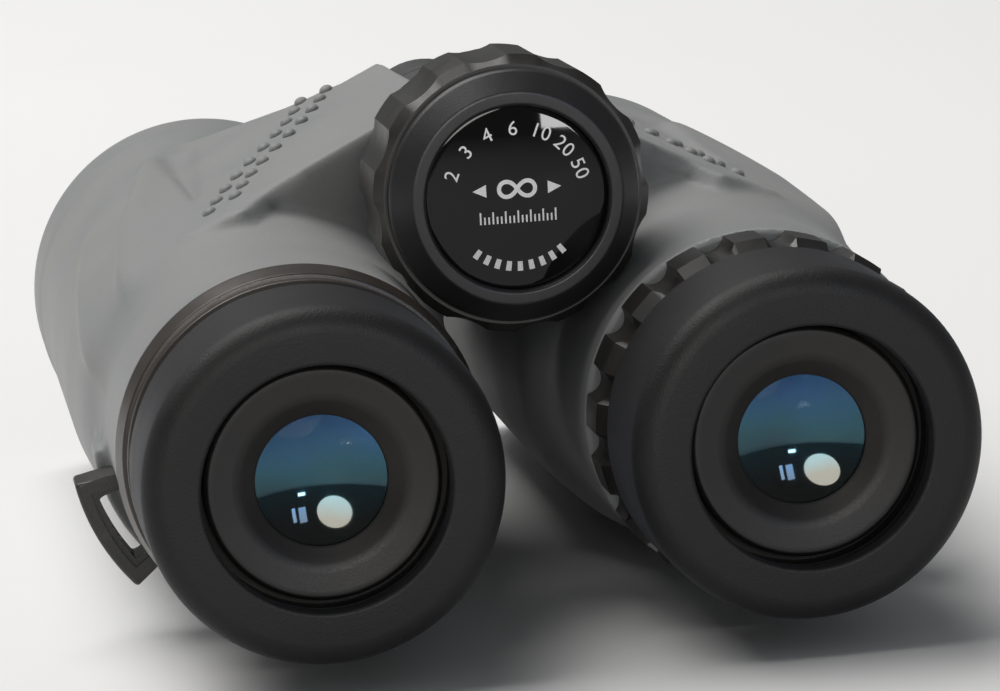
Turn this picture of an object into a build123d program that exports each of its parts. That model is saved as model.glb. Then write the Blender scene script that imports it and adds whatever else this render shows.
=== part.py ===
from build123d import *
import os
from math import asin, cos, degrees, radians, sin

# Roof-prism binoculars, 10x42, lying on their bellies. +X is to the user's right, +Y is the way
# they look, +Z is up. The origin is on the table under the hinge, at mid length.
#
# Both barrels are turned shapes, so most pieces are profiles of (radius, station) points spun
# about a barrel's axis or the hinge's. A station is the distance forward of the eyepieces' face
# rings. Pieces are drawn on their own axis and moved to their place in the last section.

# ---- driving dimensions, mm and degrees
ARM = 40.1                # hinge axis to barrel axis
HALF_SPREAD = 46.0        # each arm's angle from straight down, as the halves lie
BELLY_R = 25.7            # the armoured barrels' largest radius, which rests on the table
FACE_STATION = -3.5       # rubber face of the eyecups
FRONT_STATION = 141.5     # front of the objective rims
FIT = 0.05                # radial clearance of a running or sliding fit

# ---- barrel
ARMOUR_T = 2.0            # rubber armour
NECK_R = 22.3             # armoured neck behind the focus knob
NECK_BORE_R = 18.4        # bore that carries the ocular
STUB_R = 19.6             # bare stub that carries the base ring or the dioptre ring
STUB_START = 14.5
NECK_START = 21.5         # where the armour begins
PRISM_BORE_R = 20.2
OBJECTIVE_BORE_R = 21.7
OBJECTIVE_BORE_START = 118.0
MOUTH_R = 22.0            # open mouth in front of the objective, for a push-in cap
MOUTH_START = 134.5
CHASSIS_FRONT = FRONT_STATION - ARMOUR_T

# ---- bridge and hinge
BRIDGE_BARREL_R = 24.4    # the bridge's flat top touches circles of these two radii,
BRIDGE_HINGE_R = 12.1     # about the barrel axis and about the hinge axis
BRIDGE_START = 51.8
BRIDGE_END = 95.5
BRIDGE_TAPER = 1.3        # how much shorter the flat top is at its far end
SWEEP = (26.3, 8.0, 117.0)  # the far edge leaves its line here along the top, to meet the barrel there
SWEEP_FILLET = 14.0
CORNER_FILLET = 2.5
KNUCKLE_R = 9.5
KNUCKLE_CLEAR_R = 9.9     # the other half's bridge is hollowed to this radius
ARMOUR_HINGE_R = 10.05    # the rubber stops this far from the hinge axis
AXLE_R = 5.6
AXLE_BORE_R = 4.3
REAR_KNUCKLE = (52.0, 59.0)
MIDDLE_KNUCKLE = (59.3, 87.7)
FRONT_KNUCKLE = (88.0, 98.0)
CHAMBER = (70.7, 86.3)    # hollow of the middle knuckle, where the focus nut slides
CHAMBER_R = 8.4
AXLE_END = 99.5
SOCKET_R = 3.3            # clears a quarter-inch tripod stud
SOCKET_START = 89.5

# ---- focus drive
NUT_TRAVEL = 4.5          # each way from the middle of the focus range
NUT_LENGTH = 6.0
NUT_R = 8.0
NUT_GROOVE_R = 6.9
NUT_GROOVE_W = 2.2
NUT_MIDDLE = 78.5
ARM_T = 2.0               # focus arm, riding in the nut's groove
ARM_HALF_W = 3.0
CELL = (NUT_MIDDLE - 2.0, NUT_MIDDLE + 8.0)   # sliding cell of the focusing lens
LENS = (NUT_MIDDLE + 2.0, NUT_MIDDLE + 6.0)
FOCUS_LENS_R = 16.0
WINDOW_HALF_W = ARM_HALF_W + 0.7
WINDOW = (NUT_MIDDLE - NUT_TRAVEL - 1.7, NUT_MIDDLE + NUT_TRAVEL + 1.7)
SWING_WINDOW = (160.0, 249.0)   # slot in the middle knuckle for the left arm, in degrees
SCREW_R = 2.2
SHAFT_R = 4.0

# ---- focus knob
KNOB_R = 17.3
KNOB_VALLEY = 0.6         # depth of the scallops between its lugs
KNOB_LUGS = 12
KNOB_LUG_PHASE = 83.0     # direction of one lug, in degrees
KNOB_RIM_R = 14.8
KNOB_FRONT = 24.5
KNOB_GRIP = (28.2, 42.3)
BADGE_R = 11.4

# ---- eyepieces
OCULAR_R = 17.2
OCULAR_PISTON_R = NECK_BORE_R - 0.1
OCULAR_END = 30.0
FACE_RING_R = 13.73
EYE_OPENING_R = 7.8
EYE_LENS_R = 9.0
EYECUP_R = 21.4
EYECUP_HOLE_R = 14.6
EYECUP_END = 12.7
SLEEVE_R = 18.8
GLIDE_START = 11.7
RING_START = 13.9         # base ring on the left, dioptre ring on the right
RING_END = 21.2
DIOPTRE_R = 22.3
DIOPTRE_VALLEY = 1.4
DIOPTRE_LUGS = 18
DIOPTRE_LUG_PHASE = 75.9

# ---- strap lugs
LUG_ANGLES = (10.5, 43.0)  # from level, down the outer side of each neck
LUG_STATIONS = (33.0, 38.5)
LUG_R = 27.5
LUG_SLOT_R = 25.2
LUG_POST = 5.5             # degrees that each end post takes
BOSS_ANGLES = (-50.0, -5.0)  # swelling of the rubber in front of each lug
BOSS_STATIONS = (38.5, 46.5)
BOSS_R = 24.3

# ---- worked out from these
BARREL_X = ARM * sin(radians(HALF_SPREAD))
DROP = ARM * cos(radians(HALF_SPREAD))
HINGE_Z = BELLY_R + DROP
MID_STATION = (FACE_STATION + FRONT_STATION) / 2
ARM_ANGLE = HALF_SPREAD - 90
TOP_NORMAL = HALF_SPREAD + degrees(asin((BRIDGE_BARREL_R - BRIDGE_HINGE_R) / ARM))
TOP_LENGTH = ARM * cos(radians(TOP_NORMAL - HALF_SPREAD))


def save(solid, name):
    export_step(solid, "parts/" + name + ".step")


def turned(*profile):
    """A solid of revolution about the Y axis from (radius, station) points."""
    outline = make_face(Polyline(*profile, close=True))
    return revolve(outline, Axis.Y)


def ring(inner, outer, start, end):
    """A plain ring, or a disc where the inner radius is 0."""
    return turned((inner, start), (outer, start), (outer, end), (inner, end))


def slab(outline, start, end):
    """A block with the given (x, z) outline across the barrels."""
    wire = Polyline(*[(x, end, z) for x, z in outline], close=True)
    return extrude(make_face(wire), amount=end - start, dir=(0, -1, 0))


def polar(radius, angle, centre=(0, 0)):
    """A point (x, z) at an angle above +X."""
    return (centre[0] + radius * cos(radians(angle)), centre[1] + radius * sin(radians(angle)))


def sector(inner, outer, angles, start, end):
    """Part of a ring, between two angles above +X."""
    outline = make_face(Polyline((inner, start), (outer, start), (outer, end), (inner, end), close=True))
    piece = revolve(outline, Axis.Y, revolution_arc=angles[1] - angles[0])
    return Rot(0, -angles[1], 0) * piece


def domed(radius, back, edge, crown):
    """A lens with a flat back, a cylindrical edge and a spherical face that ends at the crown."""
    bulge = crown - edge
    sphere_r = (radius ** 2 + bulge ** 2) / (2 * bulge)
    half_way = asin(radius / abs(sphere_r)) / 2
    middle = (abs(sphere_r) * sin(half_way), crown - sphere_r * (1 - cos(half_way)))
    face = ThreePointArc((radius, edge), middle, (0, crown))
    sides = Polyline((0, crown), (0, back), (radius, back), (radius, edge))
    return revolve(make_face(face + sides), Axis.Y)


def lugged(inner, outer, valley, lugs, phase, lug_share, start, end, chamfer):
    """A grip ring: flat-topped lugs with shallow hollows between them and a bevelled start."""
    blank = turned((inner, start), (outer - chamfer, start), (outer, start + chamfer), (outer, end), (inner, end))
    pitch = 360 / lugs
    hollow_half = radians(pitch * (1 - lug_share) / 2)
    half_chord = outer * sin(hollow_half)
    depth = valley - outer * (1 - cos(hollow_half))
    scoop_r = (half_chord ** 2 + depth ** 2) / (2 * depth)
    centre_r = outer * cos(hollow_half) - depth + scoop_r
    cutter = ring(0, scoop_r, start - 1, end + 1)
    for lug in range(lugs):
        x, z = polar(centre_r, phase + pitch * (lug + 0.5))
        blank = blank - Pos(x, 0, z) * cutter
    return blank


# ---- shapes shared by the two halves; x is positive here and mirrored for the left half


def bridge_outline(inset, foot_angle, foot_side):
    """The bridge's section about the hinge axis, its skin drawn in by the inset."""
    barrel = polar(ARM, ARM_ANGLE)
    return [
        (0, 0),
        polar(BRIDGE_HINGE_R - inset, TOP_NORMAL),
        polar(BRIDGE_BARREL_R - inset, TOP_NORMAL, barrel),
        barrel,
        polar(BRIDGE_BARREL_R - inset, foot_side, barrel),
        polar(BRIDGE_HINGE_R, foot_angle),
    ]


def to_hinge(shape):
    """Moves a shape drawn on the barrel axis to the hinge's axes."""
    return Pos(BARREL_X, 0, -DROP) * shape


def arm_bar(half_width, near, far, start, end):
    """A bar along the arm, from the hinge towards the barrel."""
    corners = [(near, -half_width), (far, -half_width), (far, half_width), (near, half_width)]
    turn = radians(ARM_ANGLE)
    outline = [(a * cos(turn) - b * sin(turn), a * sin(turn) + b * cos(turn)) for a, b in corners]
    return slab(outline, start, end)


def chassis_tube():
    return turned(
        (0, STUB_START), (STUB_R, STUB_START), (STUB_R, NECK_START),
        (NECK_R - ARMOUR_T, NECK_START), (NECK_R - ARMOUR_T, 44.0),
        (22.4, 51.0), (22.9, 60.0), (23.4, 75.0), (23.6, CHASSIS_FRONT), (0, CHASSIS_FRONT),
    )


def chassis_bore():
    return turned(
        (0, STUB_START - 1), (NECK_BORE_R, STUB_START - 1), (NECK_BORE_R, 46.0), (PRISM_BORE_R, 48.0),
        (PRISM_BORE_R, OBJECTIVE_BORE_START), (OBJECTIVE_BORE_R, OBJECTIVE_BORE_START),
        (OBJECTIVE_BORE_R, MOUTH_START), (MOUTH_R, MOUTH_START), (MOUTH_R, CHASSIS_FRONT + 1),
        (0, CHASSIS_FRONT + 1),
    )


def armour_skin():
    return turned(
        (0, NECK_START), (NECK_R - 0.5, NECK_START), (NECK_R, NECK_START + 0.5), (NECK_R, 43.5),
        (BRIDGE_BARREL_R, 50.5), (24.7, 56.0), (25.3, 72.0), (25.4, 126.0), (BELLY_R, 129.5),
        (BELLY_R, 140.3), (BELLY_R - 1.2, FRONT_STATION), (0, FRONT_STATION),
    )


def bridge_block(inset, foot_angle, foot_side):
    """The bridge: its section, kept to its plan seen square to the flat top, which sweeps
    forward into the barrel at its far side."""
    start, end = BRIDGE_START + inset, BRIDGE_END - inset
    foot, meet, sweep_end = SWEEP
    hinge_edge = TOP_LENGTH + 0.5
    reach = -15.0
    edges = FilletPolyline(
        (hinge_edge, -start), (hinge_edge - BRIDGE_TAPER, -end), (foot - inset, -end), (meet - inset, -sweep_end),
        radius=[CORNER_FILLET, SWEEP_FILLET],
    )
    sides = Polyline((meet - inset, -sweep_end), (reach, -sweep_end), (reach, -start), (hinge_edge, -start))
    normal = (cos(radians(TOP_NORMAL)), 0, sin(radians(TOP_NORMAL)))
    along = (-sin(radians(TOP_NORMAL)), 0, cos(radians(TOP_NORMAL)))
    seen_from_above = Plane(origin=(BARREL_X, 0, -DROP), x_dir=along, z_dir=normal)
    plan = extrude(seen_from_above * make_face(edges + sides), amount=2 * ARM, both=True)
    return slab(bridge_outline(inset, foot_angle, foot_side), start, sweep_end) & plan


def bridge_core():
    return bridge_block(ARMOUR_T, -70, 155)


def half_chassis(knuckles, hollows):
    """A barrel with its half of the bridge, its knuckles and the window for its focus arm."""
    body = to_hinge(chassis_tube()) + bridge_core()
    for start, end in hollows:
        body = body - ring(0, KNUCKLE_CLEAR_R, start, end)
    for start, end in knuckles:
        body = body + ring(0, KNUCKLE_R, start, end)
    body = body - to_hinge(chassis_bore())
    return body - arm_bar(WINDOW_HALF_W, NUT_GROOVE_R, ARM - PRISM_BORE_R + 3, *WINDOW)


def strap_lug():
    """A D-shaped loop for the strap, on the barrel axis; the slot is under its bar."""
    low, high = -LUG_ANGLES[1], -LUG_ANGLES[0]
    bar = sector(LUG_SLOT_R, LUG_R, (low, high), *LUG_STATIONS)
    for angles in ((low, low + LUG_POST), (high - LUG_POST, high)):
        bar = bar + sector(NECK_R - ARMOUR_T, LUG_R, angles, *LUG_STATIONS)
    return bar


def half_armour():
    """The rubber skin over a barrel and its half of the bridge."""
    bridge = bridge_block(0, -80, 160) - ring(0, ARMOUR_HINGE_R, BRIDGE_START - 1, BRIDGE_END + 1)
    boss = sector(NECK_R - 1, BOSS_R, BOSS_ANGLES, *BOSS_STATIONS)
    skin = to_hinge(armour_skin() + boss) + bridge
    skin = skin - to_hinge(chassis_tube()) - bridge_core()
    skin = skin - to_hinge(ring(0, MOUTH_R, CHASSIS_FRONT, FRONT_STATION + 1))
    return skin - to_hinge(strap_lug())


def focus_cell():
    """The sliding cell of the focusing lens, with the arm that rides in the focus nut."""
    arm_start, arm_end = NUT_MIDDLE - ARM_T / 2, NUT_MIDDLE + ARM_T / 2
    arm = arm_bar(ARM_HALF_W, NUT_GROOVE_R - 1, ARM - PRISM_BORE_R + 2, arm_start, arm_end)
    arm = arm - ring(0, NUT_GROOVE_R + 0.1, arm_start - 1, arm_end + 1)
    cell = ring(FOCUS_LENS_R, PRISM_BORE_R - 0.1, *CELL) + ring(FOCUS_LENS_R - 1.2, FOCUS_LENS_R, CELL[0], LENS[0])
    return arm + to_hinge(cell)


# ---- placing


def on_hinge(shape, side):
    """From the hinge's axes to the model's; the left half is the mirror image."""
    if side == "left":
        shape = mirror(shape, Plane.YZ)
    return Pos(0, -MID_STATION, HINGE_Z) * shape


def on_barrel(shape, side):
    x = -BARREL_X if side == "left" else BARREL_X
    return Pos(x, -MID_STATION, BELLY_R) * shape


# ---- the two barrels with their bridges

left_chassis = half_chassis([REAR_KNUCKLE, FRONT_KNUCKLE], [(REAR_KNUCKLE[1], FRONT_KNUCKLE[0])])
left_chassis = left_chassis - ring(0, AXLE_R, REAR_KNUCKLE[0] - 1, FRONT_KNUCKLE[1] + 1)
save(on_hinge(left_chassis, "left"), "left_barrel")

right_chassis = half_chassis(
    [MIDDLE_KNUCKLE],
    [(REAR_KNUCKLE[0] - 1, MIDDLE_KNUCKLE[0]), (MIDDLE_KNUCKLE[1], FRONT_KNUCKLE[1] + 1)],
)
right_chassis = right_chassis - ring(0, AXLE_R + FIT, REAR_KNUCKLE[0] - 1, FRONT_KNUCKLE[1] + 1)
right_chassis = right_chassis - ring(0, CHAMBER_R, *CHAMBER)
right_chassis = right_chassis - sector(AXLE_R, KNUCKLE_R + 1, SWING_WINDOW, *WINDOW)
save(on_hinge(right_chassis, "right"), "right_barrel")

for side in ("left", "right"):
    save(on_hinge(half_armour(), side), side + "_armour")
    save(on_hinge(to_hinge(strap_lug()), side), side + "_strap_lug")
    save(on_hinge(focus_cell(), side), side + "_focus_cell")

# ---- optics inside each barrel

PRISM_HALF_W = 7.5
PRISM_BACK = 68.0         # entrance face of the first prism; light runs towards smaller stations


def prism(outline):
    """A prism from (depth behind the entrance face, height) points."""
    wire = Polyline(*[(-PRISM_HALF_W, PRISM_BACK - depth, height) for depth, height in outline], close=True)
    return extrude(make_face(wire), amount=2 * PRISM_HALF_W, dir=(1, 0, 0))


def half_penta_prism():
    return prism([(0, 8.6), (0, -7.0), (8.6, -10.6), (16.5, -13.8), (20.0, -11.4)])


def roof_prism():
    """The Schmidt prism, with its long face ground to a roof."""
    block = prism([(20.6, -11.4), (-1.0, 10.2), (3.0, 12.0), (12.0, 15.8), (20.6, 15.8)])
    ridge_drop = 4.0
    for sign in (-1, 1):
        cut = slab(
            [(0, 17.5), (sign * 9, 17.5), (sign * 9, 15.8 - ridge_drop)],
            PRISM_BACK - 24, PRISM_BACK - 10,
        )
        block = block - cut
    return block


def prism_cage():
    """Two cheeks and a stop plate that hold the pair of prisms."""
    plate_start = PRISM_BACK + 1.6
    cage = ring(9.0, PRISM_BORE_R, plate_start, plate_start + 2)
    cheek_t = 1.6
    for sign in (-1, 1):
        near = sign * (PRISM_HALF_W + 0.05)
        far = sign * (PRISM_HALF_W + cheek_t)
        cage = cage + slab([(near, -13.0), (far, -13.0), (far, 14.0), (near, 14.0)], 46.8, plate_start)
    return cage


def crown_lens():
    """The objective's front element, with a flat land for its seal."""
    land_r = 20.8
    return domed(land_r, 126.5, 129.8, 132.3) + ring(land_r, OBJECTIVE_BORE_R, 126.5, 129.8)


def ocular_tube():
    """Carries the eyepiece's lenses; a step inside seats the field lens, a piston rides the neck."""
    return turned(
        (15.0, 0.8), (OCULAR_R, 0.8), (OCULAR_R, 23.0), (OCULAR_PISTON_R, 23.0), (OCULAR_PISTON_R, OCULAR_END),
        (14.5, OCULAR_END), (14.5, 20.0), (11.5, 20.0), (11.5, 13.0), (15.0, 13.0),
    )


def face_ring():
    """The dished ring round the eye lens."""
    return turned(
        (EYE_OPENING_R, 1.7), (9.6, 1.1), (12.6, 0.1), (13.2, 0), (FACE_RING_R, 0.4), (FACE_RING_R, 3.0),
        (15.0, 3.0), (15.0, 8.0), (EYE_LENS_R, 8.0), (EYE_LENS_R, 2.4), (EYE_OPENING_R, 2.4),
    )


def eye_lens():
    """A lens whose face bulges towards the eye, with a flat land under the face ring."""
    return domed(EYE_OPENING_R, 7.0, 2.1, 1.1) + ring(EYE_OPENING_R, EYE_LENS_R, 2.4, 7.0)


def eyecup_rubber():
    return turned(
        (EYECUP_HOLE_R, -1.5), (EYECUP_HOLE_R, -3.1), (14.8, FACE_STATION), (18.6, FACE_STATION),
        (19.6, -3.25), (20.5, -2.5), (21.0, -1.5), (EYECUP_R, -0.4), (EYECUP_R, EYECUP_END - 0.4),
        (EYECUP_R - 0.4, EYECUP_END), (SLEEVE_R, EYECUP_END), (SLEEVE_R, -1.5),
    )


def eyecup_sleeve():
    """The rigid core of the eyecup; it twists and climbs on the ocular tube."""
    return turned(
        (15.6, -1.5), (SLEEVE_R, -1.5), (SLEEVE_R, GLIDE_START - 0.1), (OCULAR_R + FIT, GLIDE_START - 0.1),
        (OCULAR_R + FIT, 0.2), (15.6, 0.2),
    )


def base_ring():
    """The left eyepiece's plain ring, in three steps."""
    return turned(
        (STUB_R, STUB_START), (STUB_R, RING_END), (22.6, RING_END), (22.6, 20.8), (21.95, 17.4), (21.5, 17.0),
        (21.5, 15.4), (20.9, 15.0), (20.9, RING_START), (OCULAR_R + 0.6, RING_START), (OCULAR_R + 0.6, STUB_START),
    )


def dioptre_ring():
    """The right eyepiece's adjusting ring; it turns on the neck's stub."""
    grip = lugged(
        STUB_R + FIT, DIOPTRE_R, DIOPTRE_VALLEY, DIOPTRE_LUGS, DIOPTRE_LUG_PHASE, 0.52,
        RING_START, RING_END, 1.4,
    )
    return grip + ring(OCULAR_R + 0.6, STUB_R + FIT, RING_START, STUB_START - 0.1)


for side in ("left", "right"):
    pieces = {
        "objective_spacer": ring(20.6, OBJECTIVE_BORE_R, OBJECTIVE_BORE_START, 123.5),
        "objective_flint": ring(0, OBJECTIVE_BORE_R, 123.5, 126.5),
        "objective_crown": crown_lens(),
        "objective_seal": ring(20.9, OBJECTIVE_BORE_R, 129.8, 131.0),
        "objective_ring": ring(20.6, OBJECTIVE_BORE_R, 131.0, MOUTH_START - 0.5),
        "focus_lens": ring(0, FOCUS_LENS_R, *LENS),
        "prism_cage": prism_cage(),
        "half_penta_prism": half_penta_prism(),
        "roof_prism": roof_prism(),
        "field_stop": ring(8.0, 14.5, 26.0, 27.0),
        "field_lens": ring(0, 11.5, 14.0, 19.0),
        "ocular_tube": ocular_tube(),
        "face_ring": face_ring(),
        "eye_lens": eye_lens(),
        "eyecup_sleeve": eyecup_sleeve(),
        "eyecup_rubber": eyecup_rubber(),
        "eyecup_glide": ring(OCULAR_R + FIT, SLEEVE_R - 0.2, GLIDE_START, EYECUP_END),
    }
    for name, piece in pieces.items():
        save(on_barrel(piece, side), side + "_" + name)

save(on_barrel(base_ring(), "left"), "left_base_ring")
save(on_barrel(dioptre_ring(), "right"), "dioptre_ring")

# ---- hinge


def hinge_axle():
    """A tube through all the knuckles, slotted above and below for the focus nut's keys."""
    tube = ring(AXLE_BORE_R, AXLE_R, REAR_KNUCKLE[0], AXLE_END)
    slot_start = NUT_MIDDLE - NUT_LENGTH / 2 - NUT_TRAVEL - 0.4
    slot_end = NUT_MIDDLE + NUT_LENGTH / 2 + NUT_TRAVEL + 0.4
    return tube - slab([(-1.6, -8), (1.6, -8), (1.6, 8), (-1.6, 8)], slot_start, slot_end)


def hinge_washers():
    """Two thin friction washers between the knuckles."""
    thickness = 0.25
    rear = ring(AXLE_R, KNUCKLE_R - 0.5, REAR_KNUCKLE[1], REAR_KNUCKLE[1] + thickness)
    front = ring(AXLE_R, KNUCKLE_R - 0.5, FRONT_KNUCKLE[0] - thickness, FRONT_KNUCKLE[0])
    return Compound([rear.solid(), front.solid()])


def focus_nut():
    """A grooved collar round the axle, keyed through its slots to a threaded core."""
    start, end = NUT_MIDDLE - NUT_LENGTH / 2, NUT_MIDDLE + NUT_LENGTH / 2
    groove = (NUT_MIDDLE - NUT_GROOVE_W / 2, NUT_MIDDLE + NUT_GROOVE_W / 2)
    nut = ring(AXLE_R + 0.2, NUT_R, start, end) - ring(NUT_GROOVE_R, NUT_R + 1, *groove)
    reach = AXLE_R + 0.5
    nut = nut + ring(0, AXLE_BORE_R - 0.2, start, end)
    nut = nut + slab([(-1.4, -reach), (1.4, -reach), (1.4, reach), (-1.4, reach)], start, end)
    return nut - ring(0, SCREW_R + FIT, start - 1, end + 1)


def tripod_bush():
    """A threaded bush in the front end of the axle, open to the front."""
    bush = ring(0, AXLE_BORE_R, SOCKET_START - 1, AXLE_END)
    return bush - ring(0, SOCKET_R, SOCKET_START, AXLE_END + 1)


# ---- focus knob


def knob_core():
    """A hub, a web and a rim."""
    start, end = KNOB_GRIP
    hub = ring(3.0, 6.5, 31.0, end) + ring(1.2, KNOB_RIM_R, start, 31.0)
    return hub + ring(13.2, KNOB_RIM_R, 31.0, end)


def knob_bezel():
    """The satin ring in front of the grip, bevelled outwards, with a seat for the badge."""
    return turned(
        (BADGE_R, KNOB_FRONT + 0.2), (BADGE_R + 0.2, KNOB_FRONT), (13.2, KNOB_FRONT), (15.7, 27.0), (15.7, 27.5),
        (KNOB_RIM_R, 27.7), (KNOB_RIM_R, KNOB_GRIP[0]), (9.5, KNOB_GRIP[0]), (9.5, 27.0), (BADGE_R, 27.0),
    )


def knob_badge():
    """A glossy plate, slightly domed."""
    return domed(BADGE_R - FIT, 27.0, 25.8, 25.3)


def focus_screw():
    """The knob's shaft: seated in the hub, running in the collar, threaded through the nut."""
    return turned(
        (1.2, 31.0), (3.0, 31.0), (3.0, KNOB_GRIP[1]), (SHAFT_R, KNOB_GRIP[1]), (SHAFT_R, 51.5),
        (SCREW_R, 51.5), (SCREW_R, 88.0), (0, 88.0), (0, 37.0), (1.2, 37.0),
    )


centre = {
    "hinge_axle": hinge_axle(),
    "hinge_collar": ring(SHAFT_R + FIT, KNUCKLE_R, 43.5, REAR_KNUCKLE[0]),
    "hinge_washers": hinge_washers(),
    "hinge_nut": ring(AXLE_R, 8.0, FRONT_KNUCKLE[1], AXLE_END),
    "tripod_bush": tripod_bush(),
    "focus_nut": focus_nut(),
    "focus_screw": focus_screw(),
    "knob_core": knob_core(),
    "knob_grip": lugged(KNOB_RIM_R, KNOB_R, KNOB_VALLEY, KNOB_LUGS, KNOB_LUG_PHASE, 0.4, *KNOB_GRIP, 1.0),
    "knob_bezel": knob_bezel(),
    "knob_badge": knob_badge(),
    "knob_fixing_screw": ring(0, 2.8, 27.2, KNOB_GRIP[0]) + ring(0, 1.2, KNOB_GRIP[0], 36.5),
}
for name, piece in centre.items():
    save(Pos(0, -MID_STATION, HINGE_Z) * piece, name)
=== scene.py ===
import math

import bmesh
import bpy
from mathutils import Matrix, Vector
from mathutils.bvhtree import BVHTree


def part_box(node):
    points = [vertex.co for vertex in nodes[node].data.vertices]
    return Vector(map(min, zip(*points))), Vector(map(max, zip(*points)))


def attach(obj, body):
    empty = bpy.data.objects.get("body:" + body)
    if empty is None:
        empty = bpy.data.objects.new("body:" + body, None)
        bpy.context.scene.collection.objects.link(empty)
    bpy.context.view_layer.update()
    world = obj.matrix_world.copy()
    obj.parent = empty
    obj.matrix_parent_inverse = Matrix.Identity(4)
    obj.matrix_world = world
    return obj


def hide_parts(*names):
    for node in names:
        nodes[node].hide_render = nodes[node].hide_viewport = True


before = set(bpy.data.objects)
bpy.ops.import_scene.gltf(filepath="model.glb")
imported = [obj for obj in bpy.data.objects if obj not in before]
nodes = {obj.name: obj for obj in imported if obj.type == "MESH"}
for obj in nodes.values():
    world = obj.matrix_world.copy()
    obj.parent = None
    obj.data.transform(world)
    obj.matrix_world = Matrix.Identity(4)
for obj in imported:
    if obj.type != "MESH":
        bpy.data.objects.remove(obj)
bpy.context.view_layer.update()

# ---- Barrel chassis ----------------------------------------------------------------------------
# Each half of the body is one moulding of black, glass-filled polycarbonate: the tube, half of the
# bridge and its hinge knuckles. Rubber covers it, apart from the knuckles and the stub behind the
# eyecup, where the mould's fine spark-eroded grain shows.


class Reading:
    """What a shader node puts out. Arithmetic on it adds the Math nodes."""

    def __init__(self, finish, socket):
        self.finish = finish
        self.socket = socket

    def combine(self, operation, first, second):
        return self.finish.node("ShaderNodeMath", {"operation": operation}, {0: first, 1: second})

    def __add__(self, other):
        return self.combine("ADD", self, other)

    def __mul__(self, other):
        return self.combine("MULTIPLY", self, other)

    __radd__ = __add__
    __rmul__ = __mul__


class Finish:
    """One material, built node by node."""

    def __init__(self, name):
        self.material = bpy.data.materials.new(name)
        self.material.use_nodes = True
        self.tree = self.material.node_tree
        self.tree.nodes.clear()

    def node(self, kind, settings=None, sockets=None, output=0):
        made = self.tree.nodes.new(kind)
        for setting, value in (settings or {}).items():
            setattr(made, setting, value)
        for socket, value in (sockets or {}).items():
            if isinstance(value, Reading):
                self.tree.links.new(value.socket, made.inputs[socket])
            else:
                made.inputs[socket].default_value = value
        return Reading(self, made.outputs[output])

    def place(self):
        return self.node("ShaderNodeTexCoord", output="Object")

    def along(self, axis):
        """How far a point lies along an axis, in metres."""
        return self.node("ShaderNodeSeparateXYZ", sockets={0: self.place()}, output=axis)

    def noise(self, size, detail=3.0):
        """Cloudy noise whose blotches are about this many millimetres across."""
        return self.node(
            "ShaderNodeTexNoise", sockets={"Vector": self.place(), "Scale": 1000 / size, "Detail": detail},
        )

    def grains(self, size):
        """Closely packed round grains, as a moulding tool's texture leaves."""
        return self.node("ShaderNodeTexVoronoi", sockets={"Vector": self.place(), "Scale": 1000 / size})

    def spread(self, reading, low, high, to_low=0.0, to_high=1.0):
        """Stretches a reading's range from low..high to to_low..to_high, and holds it there."""
        return self.node(
            "ShaderNodeMapRange", sockets={0: reading, 1: low, 2: high, 3: to_low, 4: to_high},
        )

    def edges(self, low=0.52, high=0.6):
        """1 on the outer edges, where hands rub, and 0 elsewhere."""
        pointed = self.node("ShaderNodeNewGeometry", output="Pointiness")
        return self.spread(pointed, low, high)

    def colours(self, mask, first, second):
        """The first colour where the mask is 0, the second where it is 1."""
        first = first if isinstance(first, Reading) else (*first, 1)
        second = second if isinstance(second, Reading) else (*second, 1)
        return self.node(
            "ShaderNodeMix", {"data_type": "RGBA"}, {0: mask, 6: first, 7: second}, output=2,
        )

    def bump(self, height, depth):
        """Relief whose full height is this many millimetres."""
        return self.node("ShaderNodeBump", sockets={"Distance": depth / 1000, "Height": height})

    def surface(self, sockets):
        """Ends the material in one shader with these sockets."""
        shader = self.node("ShaderNodeBsdfPrincipled", sockets=sockets)
        output = self.tree.nodes.new("ShaderNodeOutputMaterial")
        self.tree.links.new(shader.socket, output.inputs["Surface"])
        return self.material


def moulded_plastic(name, colour, grain=0.25, relief=0.02, roughness=0.5):
    """Hard moulded plastic with a fine grain, greyer where it is rubbed."""
    finish = Finish(name)
    mottle = finish.noise(6.0)
    rubbed = [channel * 1.9 + 0.01 for channel in colour]
    tone = finish.colours(finish.edges() * 0.6 + mottle * 0.25, colour, rubbed)
    return finish.surface({
        "Base Color": tone,
        "Roughness": finish.spread(mottle, 0.3, 0.7, roughness - 0.06, roughness + 0.08),
        "Normal": finish.bump(finish.grains(grain), relief),
    })


def repaint(names, material):
    """Gives CAD nodes that keep their shape a material."""
    for name in names:
        slots = nodes[name].data.materials
        slots.clear()
        slots.append(material)


BOTH = ("left", "right")
chassis_black = moulded_plastic("chassis_black", (0.022, 0.022, 0.023))
repaint([side + "_barrel" for side in BOTH], chassis_black)

# ---- Rubber armour -----------------------------------------------------------------------------
# A skin of soft light grey rubber, 2 mm thick, moulded over each tube and its half of the bridge.
# Two soft creases and a shallow wedge-shaped thumb dent run along its outer side, and two rows of
# grip pips run beside a slightly sunk panel on top of the bridge.

STATION_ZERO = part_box("left_face_ring")[0].y
cup_low, cup_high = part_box("right_eyecup_rubber")
BARREL_X = (cup_low.x + cup_high.x) / 2
BARREL_Z = (cup_low.z + cup_high.z) / 2
collar_low, collar_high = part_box("hinge_collar")
HINGE_Z = (collar_low.z + collar_high.z) / 2
MM = 0.001


def polar(radius, angle, centre=(0.0, 0.0)):
    """A point (x, z) at an angle in degrees above +X."""
    turn = math.radians(angle)
    return centre[0] + radius * math.cos(turn), centre[1] + radius * math.sin(turn)


def swing(shape, angle):
    """Turns a shape about the Y axis by degrees, clockwise as seen from the eyepieces."""
    bmesh.ops.rotate(shape, verts=shape.verts, matrix=Matrix.Rotation(math.radians(angle), 3, "Y"))
    return shape


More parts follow.
